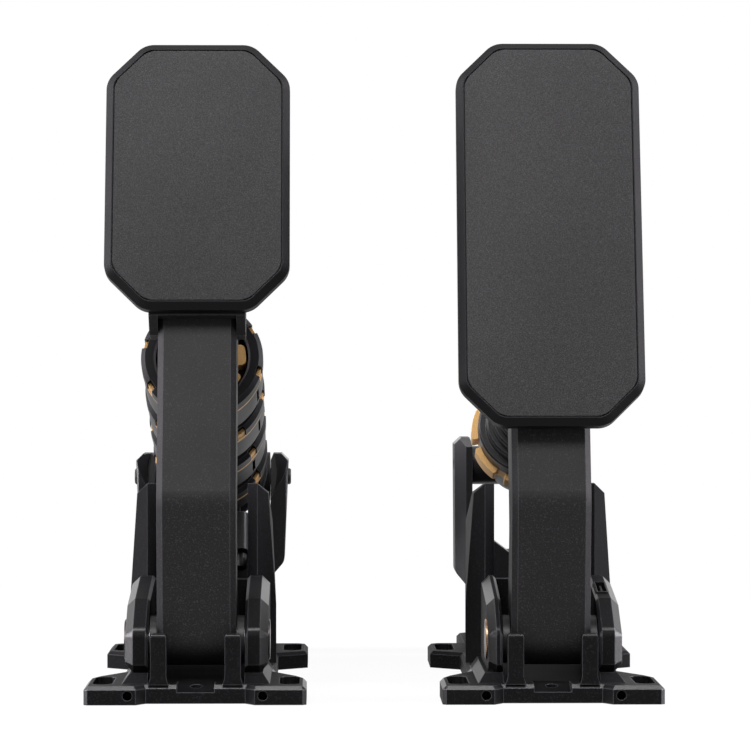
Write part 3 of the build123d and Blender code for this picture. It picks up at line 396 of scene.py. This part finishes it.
class StrutSettings(bpy.types.PropertyGroup):
    gold_tone: FloatVectorProperty(name="Gold colour", description="Anodised discs, knob and wheel",
                                   subtype="COLOR", default=(0.53, 0.32, 0.125))
    black_tone: FloatVectorProperty(name="Black colour", description="Anodised rings and cups",
                                    subtype="COLOR", default=(0.0075, 0.0073, 0.008))
    rubber_tone: FloatVectorProperty(name="Elastomer colour", description="Rubber between the cups",
                                     subtype="COLOR", default=(0.009, 0.009, 0.0095))
    elastomer_radius: FloatProperty(name="Elastomer radius", description="Outside of each elastomer",
                                    subtype="DISTANCE", default=20.2 * mm)
    elastomer_waist: FloatProperty(name="Waist depth", description="Groove round each elastomer",
                                   subtype="DISTANCE", default=0.9 * mm)
    wire: FloatProperty(name="Spring wire", description="Wire of the throttle's spring", subtype="DISTANCE",
                        default=2.7 * mm)
    spring_radius: FloatProperty(name="Spring radius", description="Outside of the throttle's spring",
                                 subtype="DISTANCE", default=15 * mm)
    spring_turns: IntProperty(name="Spring turns", description="Turns of the throttle's spring", default=22)


class StageSettings(bpy.types.PropertyGroup):
    floor_tone: FloatVectorProperty(name="Floor colour", description="Plain pale floor", subtype="COLOR",
                                    default=(0.32, 0.32, 0.32))
    key_power: FloatProperty(name="Key power", description="Power of the lamp before the faces", default=24.0)
    top_power: FloatProperty(name="Top power", description="Power of the lamp overhead", default=5.0)
    side_power: FloatProperty(name="Side power", description="Power of each side lamp", default=25.0)
    lens: FloatProperty(name="Lens", description="Focal length of the camera in millimetres", default=165.5)


# Mesh helpers


def new_object(name, mesh_maker, matrix, material, smooth=True):
    """Builds one piece: the maker fills a bmesh, and the matrix puts it in its place."""
    shape = bmesh.new()
    mesh_maker(shape)
    bmesh.ops.transform(shape, matrix=matrix, verts=shape.verts)
    bmesh.ops.recalc_face_normals(shape, faces=shape.faces)
    mesh = bpy.data.meshes.new(name)
    shape.to_mesh(mesh)
    shape.free()
    mesh.polygons.foreach_set("use_smooth", [smooth] * len(mesh.polygons))
    mesh.materials.append(material)
    piece = bpy.data.objects.new(name, mesh)
    bpy.context.scene.collection.objects.link(piece)
    return piece


def keep_sharp(piece, angle):
    """Keeps corners above an angle crisp while the rest shades smoothly."""
    shape = bmesh.new()
    shape.from_mesh(piece.data)
    for edge in shape.edges:
        if len(edge.link_faces) == 2 and edge.calc_face_angle() > angle:
            edge.smooth = False
    shape.to_mesh(piece.data)
    shape.free()


def round_over(shape, geom, offset, segments, affect="EDGES"):
    bmesh.ops.bevel(shape, geom=geom, offset=offset, offset_type="OFFSET", segments=segments, profile=0.5,
                    affect=affect, material=-1)


def lathe(shape, profile, steps=64):
    """Spins a closed outline of (radius, height) points about local Z."""
    verts = [shape.verts.new((radius, 0, height)) for radius, height in profile]
    edges = [shape.edges.new((first, second)) for first, second in zip(verts, verts[1:] + verts[:1])]
    bmesh.ops.spin(shape, geom=verts + edges, cent=(0, 0, 0), axis=(0, 0, 1), angle=2 * pi, steps=steps,
                   use_merge=True)
    bmesh.ops.remove_doubles(shape, verts=shape.verts, dist=1e-6)


def paint(names, material):
    for name in names:
        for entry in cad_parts[name].material_slots:
            entry.material = material


def both(suffix):
    return ["brake" + suffix, "throttle" + suffix]


def register_piece(piece, body, slot, *nodes):
    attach(piece, body)
    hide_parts(*nodes)


# Pieces


class PEDALS_OT_castings(bpy.types.Operator):
    """Finishes the bases, hubs, yokes, arms and brackets, and the load cell's case"""
    bl_idname = "pedals.castings"
    bl_label = "Castings"

    def execute(self, context):
        settings = context.scene.pedal_castings
        tone = tuple(settings.cast_tone)
        common = {"speck_tone": CAST_SPECK, "edge_highlight_tone": tuple(settings.edge_highlight_tone), "grain": settings.grain,
                  "bump": 0.4, "edge_radius": 0.6 * mm}
        cast = coated_metal("cast_coat", tone, rough=0.55, specular=0.06, gloss_on_bevels=0.9, **common)
        base = coated_metal("base_coat", tone, rough=0.55, specular=0.06, gloss_on_bevels=0.8,
                            bevels_before=-60 * mm, **common)
        # Painted light: the yokes and the load cell's case get the casting coat made 2.6 times lighter,
        # standing in for light falling on them.
        yoke = coated_metal("yoke_lit_coat", scaled(tone, 2.6), rough=0.5, specular=0.14, gloss_on_bevels=1.0,
                            **common)
        arm = coated_metal("arm_coat", tuple(settings.arm_tone), ARM_SPECK, tuple(settings.edge_highlight_tone),
                           grain=settings.grain * 1.2, rough=0.5, bump=0.24, edge_radius=0.5 * mm,
                           specular=0.16)
        paint(both("_base"), base)
        paint(both("_hub_left") + both("_hub_right"), cast)
        paint(both("_yoke") + ["load_cell"], yoke)
        paint(both("_arm") + both("_plate_bracket"), arm)
        return {"FINISHED"}


class PEDALS_OT_faces(bpy.types.Operator):
    """Finishes the face plates and models the sheet let into each"""
    bl_idname = "pedals.faces"
    bl_label = "Faces"

    def pad(self, shape, settings, length):
        """An octagon with rounded corners, raised and rounded over at its rim."""
        corner_round, rim_round = 3.6 * mm, 0.4 * mm
        half_width = settings.width / 2 - settings.inset
        half_length = length / 2 - settings.inset
        # An even rim shortens the cut of a 45 degree corner by this much
        cut = settings.corner - settings.inset * (2 - 2 ** 0.5)
        points = [(half_width - cut, -half_length), (half_width, cut - half_length),
                  (half_width, half_length - cut), (half_width - cut, half_length)]
        points += [(-x, y) for x, y in reversed(points)]
        corners = [shape.verts.new((x, y, 0)) for x, y in points]
        shape.faces.new(corners)
        round_over(shape, corners, corner_round, 6, affect="VERTICES")
        raised = bmesh.ops.extrude_face_region(shape, geom=shape.faces[:])
        top = [item for item in raised["geom"] if isinstance(item, bmesh.types.BMVert)]
        bmesh.ops.translate(shape, verts=top, vec=(0, 0, settings.thickness))
        half = settings.thickness / 2
        rim = [edge for edge in shape.edges if all(vert.co.z > half for vert in edge.verts)]
        round_over(shape, rim, rim_round, 3)

    def execute(self, context):
        settings = context.scene.pedal_faces
        plate = coated_metal("plate_coat", tuple(settings.plate_tone), PLATE_SPECK, PLATE_EDGE_HIGHLIGHT, grain=2600.0,
                             rough=0.46, bump=0.08, edge_radius=0.45 * mm, specular=0.08)
        paint(both("_face_plate"), plate)
        sheet = soft_sheet("pad_sheet", tuple(settings.pad_tone), PAD_SPECK, grain=2300.0, rough=0.62,
                           bump=0.4, specular=0.14)
        for unit, x, length, centre in (("brake", BRAKE_X, settings.brake_length, BRAKE_FACE_CENTRE),
                                        ("throttle", THROTTLE_X, settings.throttle_length,
                                         THROTTLE_FACE_CENTRE)):
            place = face_matrix(x, centre, PAD_FLOOR_OUT)
            piece = new_object(unit + "_pad_sheet", lambda shape: self.pad(shape, settings, length), place,
                               sheet)
            keep_sharp(piece, radians(35))
            register_piece(piece, unit + "_arm", "pad_rubber", unit + "_face_pad")
        return {"FINISHED"}


class PEDALS_OT_brake_strut(bpy.types.Operator):
    """Finishes the brake's rings, discs and cups, and models its elastomers"""
    bl_idname = "pedals.brake_strut"
    bl_label = "Brake strut"

    def elastomer(self, settings, stage, body, place, rubber):
        """A sleeve with a shallow waist, from a cup's floor to the next ring."""
        stage_start = STACK_START + (stage - 1) * STACK_PITCH
        cup_start = stage_start + RING_LENGTH + DISC_THICK
        start = cup_start + CUP_FLOOR + SEAT_GAP
        end = stage_start + STACK_PITCH + RING_LENGTH - SEAT_GAP
        open_length = STACK_PITCH - RING_LENGTH - DISC_THICK - CUP_LENGTH
        middle = cup_start + CUP_LENGTH + open_length / 2
        outer, waist, bore = settings.elastomer_radius, settings.elastomer_waist, 6.3 * mm
        round_off = 0.8 * mm
        corner = round_off * 0.3
        profile = [(bore, start), (outer - round_off, start), (outer - corner, start + corner),
                   (outer, start + round_off)]
        steps, reach = 8, 4.2 * mm
        for step in range(steps + 1):
            share = step / steps
            profile.append((outer - waist * sin(pi * share) ** 2, middle + (2 * share - 1) * reach))
        profile += [(outer, end - round_off), (outer - corner, end - corner), (outer - round_off, end),
                    (bore, end)]
        piece = new_object("elastomer_sleeve_%d" % stage, lambda shape: lathe(shape, profile), place, rubber)
        keep_sharp(piece, radians(50))
        register_piece(piece, body, "elastomer", "elastomer_%d" % stage)
        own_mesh(piece)

    def execute(self, context):
        settings = context.scene.pedal_struts
        strut = (BRAKE_X, BRAKE_TRUNNION)
        gold_tone = tuple(settings.gold_tone)
        # The edge tone paints a highlight on the corners of the rings and cups.
        black = turned_metal("turned_black", tuple(settings.black_tone), BLACK_GROOVE, rough=0.4, strut=strut,
                             metallic=0.0, specular=0.1, edge_highlight_tone=BRAKE_BLACK_EDGE_HIGHLIGHT)
        gold = anodised_gold("turned_gold", gold_tone, strut)
        # Painted shade: the gold discs are darkened within 23 mm, where they lie in shade inside the rings'
        # bores.
        disc = anodised_gold("turned_disc", gold_tone, strut, shade_radius=23 * mm)
        steel = turned_metal("strut_steel", (0.42, 0.42, 0.44), (0.3, 0.3, 0.32), rough=0.3, strut=strut,
                             metallic=1.0)
        for stage in range(1, 5):
            paint(["stack_ring_%d" % stage, "stack_cup_%d" % stage], black)
            paint(["stack_disc_%d" % stage], disc)
        paint(["brake_trunnion"], black)
        paint(["brake_knob"], gold)
        paint(["brake_rod"], steel)
        rubber = soft_sheet("elastomer_rubber", tuple(settings.rubber_tone), RUBBER_SPECK, grain=900.0,
                            rough=0.6, bump=0.18, specular=0.15)
        place = strut_matrix(*strut)
        for stage, body in ((1, "stack_stage_2"), (2, "stack_stage_3"), (3, "brake_strut_end")):
            self.elastomer(settings, stage, body, place, rubber)
        return {"FINISHED"}


class PEDALS_OT_throttle_strut(bpy.types.Operator):
    """Finishes the throttle's strut and models its coil spring"""
    bl_idname = "pedals.throttle_strut"
    bl_label = "Throttle strut"

    def coil(self, shape, settings, start, end):
        """A round wire spun into a helix, with both ends closed."""
        steps_per_turn, wire_sides = 36, 12
        radius = settings.spring_radius - settings.wire / 2
        steps = settings.spring_turns * steps_per_turn
        rise = (end - start) / steps
        turn = Matrix.Translation((radius, 0, start)) @ Matrix.Rotation(pi / 2, 4, "X")
        bmesh.ops.create_circle(shape, cap_ends=False, segments=wire_sides, radius=settings.wire / 2,
                                matrix=turn)
        ring = shape.edges[:]
        spun = bmesh.ops.spin(shape, geom=shape.verts[:] + ring, cent=(0, 0, 0), axis=(0, 0, 1),
                              dvec=(0, 0, rise), angle=2 * pi * settings.spring_turns, steps=steps)
        last = [item for item in spun["geom_last"] if isinstance(item, bmesh.types.BMEdge)]
        for loop in (ring, last):
            bmesh.ops.edgeloop_fill(shape, edges=loop)

    def execute(self, context):
        settings = context.scene.pedal_struts
        strut = (THROTTLE_X, THROTTLE_TRUNNION)
        # The edge tone paints a highlight on the corners, lighter than on the brake.
        black = turned_metal("turned_black_throttle", tuple(settings.black_tone), BLACK_GROOVE, rough=0.38,
                             strut=strut, metallic=0.0, specular=0.25, edge_highlight_tone=THROTTLE_BLACK_EDGE_HIGHLIGHT)
        gold = anodised_gold("turned_gold_throttle", tuple(settings.gold_tone), strut)
        steel = turned_metal("tube_steel", (0.4, 0.4, 0.42), (0.3, 0.3, 0.32), rough=0.28, strut=strut,
                             metallic=1.0)
        wire = turned_metal("spring_wire", (0.01, 0.01, 0.011), (0.016, 0.016, 0.017), rough=0.32,
                            strut=strut, metallic=0.0, specular=0.35)
        paint(["spring_seat", "spring_cup", "throttle_trunnion"], black)
        paint(["preload_wheel"], gold)
        paint(["throttle_rod", "damper_tube"], steel)
        place = strut_matrix(*strut)
        start = COIL_START + settings.wire / 2 + COIL_GAP
        end = COIL_END - settings.wire / 2 - COIL_GAP
        piece = new_object("throttle_coil", lambda shape: self.coil(shape, settings, start, end), place, wire)
        register_piece(piece, "throttle_rod", "spring_steel", "throttle_spring")
        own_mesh(piece)
        return {"FINISHED"}


class PEDALS_OT_fittings(bpy.types.Operator):
    """Finishes the pivots, pins, sockets and screws, and models the brackets' screw heads"""
    bl_idname = "pedals.fittings"
    bl_label = "Fittings"

    def cap_head(self, shape, radius, height):
        """A socket-head screw: a round head, its rim rounded over, with a six-sided recess."""
        sides = 48
        bmesh.ops.create_cone(shape, cap_ends=True, segments=sides, radius1=radius, radius2=radius,
                              depth=height, matrix=Matrix.Translation((0, 0, height / 2)))
        top_rim = [edge for edge in shape.edges if all(vert.co.z > height * 0.9 for vert in edge.verts)]
        round_over(shape, top_rim, radius * 0.1, 3)
        top = max(shape.faces, key=lambda face: face.calc_center_median().z)
        bmesh.ops.inset_individual(shape, faces=[top], thickness=radius * 0.34)
        flat = radius * 0.5
        flat_turn = pi / 3
        for vert in top.verts:
            angle = atan2(vert.co.y, vert.co.x)
            nearest = round(angle / flat_turn) * flat_turn
            reach = flat / cos(angle - nearest)
            vert.co.x, vert.co.y = reach * cos(angle), reach * sin(angle)
        sunk = bmesh.ops.extrude_discrete_faces(shape, faces=[top])["faces"][0]
        bmesh.ops.translate(shape, verts=sunk.verts, vec=(0, 0, -height * 0.6))

    def cap_finish(self):
        """Dark turned centre, with a rim that is copper on the throttle and dark on the brake."""
        centre_tone, line_tone = (0.02, 0.019, 0.021), (0.06, 0.045, 0.035)
        brake_rim, throttle_rim = (0.035, 0.031, 0.033), (0.4, 0.24, 0.15)
        made = Finish("pivot_cap")
        x, y, z = made.split(made.coords())
        y = y - PIVOT_Y
        z = z - PIVOT_Z
        away = (y * y + z * z) ** 0.5
        rim = made.spread(away, 8.1 * mm, 8.3 * mm)
        rim_tone = made.mix(x > 0.0, rgb(brake_rim), rgb(throttle_rim))
        circles = made.node("CombineXYZ", inputs={"X": away * 80.0})
        lines = made.noise(scale=90.0, detail=2.0, rough=0.6, coords=circles)
        colour = made.mix(rim, rgb(centre_tone), rim_tone)
        colour = made.mix(lines * 0.3, colour, rgb(line_tone))
        gloss = 0.28 + (lines - 0.5) * 0.3
        relief = made.node("Bump", inputs={"Strength": 0.12, "Distance": 0.05 * mm, "Height": lines})
        return made.finish(made.node("BsdfPrincipled", inputs={
            "Base Color": colour, "Roughness": gloss.clamped(), "Normal": relief, "Metallic": 0.9}))

    def bracket_heads(self, unit, x, material):
        """Four heads on each bracket, two to a side, in place of the plain ones."""
        places = []
        for share in BRACKET_SCREW_SHARES:
            along = WEB_BOTTOM + share * (ARM_TOP - WEB_BOTTOM)
            place = face_matrix(x, along, BRACKET_SCREW_OUT).to_translation()
            for side in (-1, 1):
                turn = Matrix.Rotation(side * pi / 2, 4, "Y")
                spot = Vector((x + side * (ARM_HALF + TAB_THICK), place.y, place.z))
                places.append(Matrix.Translation(spot) @ turn)

        def build(shape):
            for matrix in places:
                part = bmesh.new()
                self.cap_head(part, HEAD_RADIUS, HEAD_HEIGHT)
                bmesh.ops.transform(part, matrix=matrix, verts=part.verts)
                mesh = bpy.data.meshes.new("head")
                part.to_mesh(mesh)
                part.free()
                shape.from_mesh(mesh)
                bpy.data.meshes.remove(mesh)

        piece = new_object(unit + "_bracket_heads", build, Matrix.Identity(4), material)
        keep_sharp(piece, radians(40))
        register_piece(piece, unit + "_arm", "black_steel", unit + "_bracket_screws")

    def execute(self, context):
        steel = turned_metal("pivot_steel", (0.45, 0.45, 0.47), (0.32, 0.32, 0.34), rough=0.28, metallic=1.0)
        bronze = turned_metal("bush_bronze", (0.55, 0.33, 0.19), (0.4, 0.22, 0.12), rough=0.35)
        # The third tone of each coat below paints a highlight along sharp edges.
        oxide = coated_metal("black_oxide", (0.008, 0.008, 0.009), (0.018, 0.018, 0.02), (0.1, 0.1, 0.11),
                             grain=2400.0, rough=0.4, bump=0.1, edge_radius=0.3 * mm, specular=0.25)
        plastic = coated_metal("moulded_black", (0.006, 0.006, 0.0065), (0.012, 0.012, 0.013),
                               (0.06, 0.06, 0.066), grain=3000.0, rough=0.35, bump=0.1,
                               edge_radius=0.25 * mm, specular=0.25)
        screws = ["base_screws"] + both("_bracket_screws") + both("_face_screws")
        paint(both("_axle") + both("_front_pin") + ["sensor_magnet"], steel)
        paint(["pivot_bushes"], bronze)
        paint(["pivot_caps"], self.cap_finish())
        paint(screws + ["trunnion_stubs", "pivot_washers"], oxide)
        paint(both("_socket") + ["sensor_cap"], plastic)
        self.bracket_heads("brake", BRAKE_X, oxide)
        self.bracket_heads("throttle", THROTTLE_X, oxide)
        return {"FINISHED"}


class PEDALS_OT_stage(bpy.types.Operator):
    """Sets up the floor, the soft light and the camera"""
    bl_idname = "pedals.stage"
    bl_label = "Stage"

    def lamp(self, name, size, place, target, power, tint=WHITE):
        """A rectangular lamp of a width and height, aimed at a place."""
        data = bpy.data.lights.new(name, "AREA")
        data.shape = "RECTANGLE"
        data.size, data.size_y = size
        data.energy = power
        data.color = tint
        lamp = bpy.data.objects.new(name, data)
        bpy.context.scene.collection.objects.link(lamp)
        lamp.location = place
        lamp.rotation_euler = (Vector(target) - Vector(place)).to_track_quat("-Z", "Y").to_euler()

    def floor_material(self, tone):
        """Matt floor that a camera and a gloss see as white, with a soft shadow left near the object."""
        near_white, far_white = 1.16, 1.0
        near_share, far_share = 0.8, 1.0
        made = Finish("pale_floor")
        place = made.coords()
        grain = made.noise(scale=300.0, detail=2.0, rough=0.5, coords=place)
        colour = made.mix(grain * 0.04, rgb(tone), rgb(scaled(tone, 0.96)))
        matt = made.node("BsdfDiffuse", inputs={"Color": colour})
        away = made.node("VectorMath", {"operation": "LENGTH"}, {0: place}, output=1)
        far = made.spread(away, 0.25, 0.6)
        strength = near_white - far * (near_white - far_white)
        white = made.node("Emission", inputs={"Color": rgb(WHITE), "Strength": strength})
        share = seen_directly(made.tree) * (near_share + far * (far_share - near_share))
        return made.finish(mix_shaders(made.tree, share, matt, white))

    def world(self):
        """A faint cool light on the object, and plain white behind it."""
        world = bpy.data.worlds.new("studio")
        bpy.context.scene.world = world
        world.use_nodes = True
        tree = world.node_tree
        tree.nodes.clear()
        shades = []
        for tone, strength in (((0.9, 0.92, 1.0), 0.1), (WHITE, 1.0)):
            background = tree.nodes.new("ShaderNodeBackground")
            background.inputs["Color"].default_value = rgb(tone)
            background.inputs["Strength"].default_value = strength
            shades.append(Value(tree, background.outputs[0]))
        output = tree.nodes.new("ShaderNodeOutputWorld")
        tree.links.new(mix_shaders(tree, seen_directly(tree), *shades).socket, output.inputs[0])

    def camera(self, lens, place, aim):
        data = bpy.data.cameras.new("camera")
        data.lens = lens
        data.sensor_width = 36
        camera = bpy.data.objects.new("camera", data)
        bpy.context.scene.collection.objects.link(camera)
        camera.location = place
        camera.rotation_euler = (aim - camera.location).to_track_quat("-Z", "Y").to_euler()
        bpy.context.scene.camera = camera

    def execute(self, context):
        settings = context.scene.pedal_stage
        half, sunk = 3.0, 0.2 * mm

        def floor(shape):
            bmesh.ops.create_grid(shape, x_segments=1, y_segments=1, size=half)

        plane = new_object("floor", floor, Matrix.Translation((0, 0, -sunk)),
                           self.floor_material(tuple(settings.floor_tone)), smooth=False)
        self.world()
        self.lamp("key", (1.1, 0.5), (-0.15, -1.2, 1.15), (0, -0.1, 0.15), settings.key_power)
        self.lamp("top", (0.7, 0.3), (0.0, -0.25, 1.4), (0, -0.08, 0.1), settings.top_power)
        for name, x in (("left_strip", -1.1), ("right_strip", 1.1)):
            self.lamp(name, (0.35, 1.5), (x, 0.0, 0.7), (0, 0, 0.25), settings.side_power, VIOLET)
        self.camera(settings.lens, (-0.0234, -1.596, 0.1557), Vector((0.00016, -0.135, 0.14)))
        bpy.context.scene.view_settings.view_transform = "Standard"
        return {"FINISHED"}


class PEDALS_PT_panel(bpy.types.Panel):
    """Lists the steps that dress the pedals"""
    bl_idname = "PEDALS_PT_panel"
    bl_label = "Pedal set"
    bl_space_type = "VIEW_3D"
    bl_region_type = "UI"
    bl_category = "Pedals"

    def draw(self, context):
        for step in STEPS:
            self.layout.operator(step.bl_idname)


STEPS = (PEDALS_OT_castings, PEDALS_OT_faces, PEDALS_OT_brake_strut, PEDALS_OT_throttle_strut,
         PEDALS_OT_fittings, PEDALS_OT_stage)
SETTINGS = {"pedal_castings": CastingSettings, "pedal_faces": FaceSettings, "pedal_struts": StrutSettings,
            "pedal_stage": StageSettings}
CLASSES = tuple(SETTINGS.values()) + STEPS + (PEDALS_PT_panel,)


def register():
    for item in CLASSES:
        bpy.utils.register_class(item)
    for name, group in SETTINGS.items():
        setattr(bpy.types.Scene, name, PointerProperty(type=group))


def unregister():
    for name in SETTINGS:
        delattr(bpy.types.Scene, name)
    for item in reversed(CLASSES):
        bpy.utils.unregister_class(item)


def main():
    register()
    for step in STEPS:
        group, name = step.bl_idname.split(".")
        getattr(getattr(bpy.ops, group), name)()


if __name__ == "__main__":
    main()
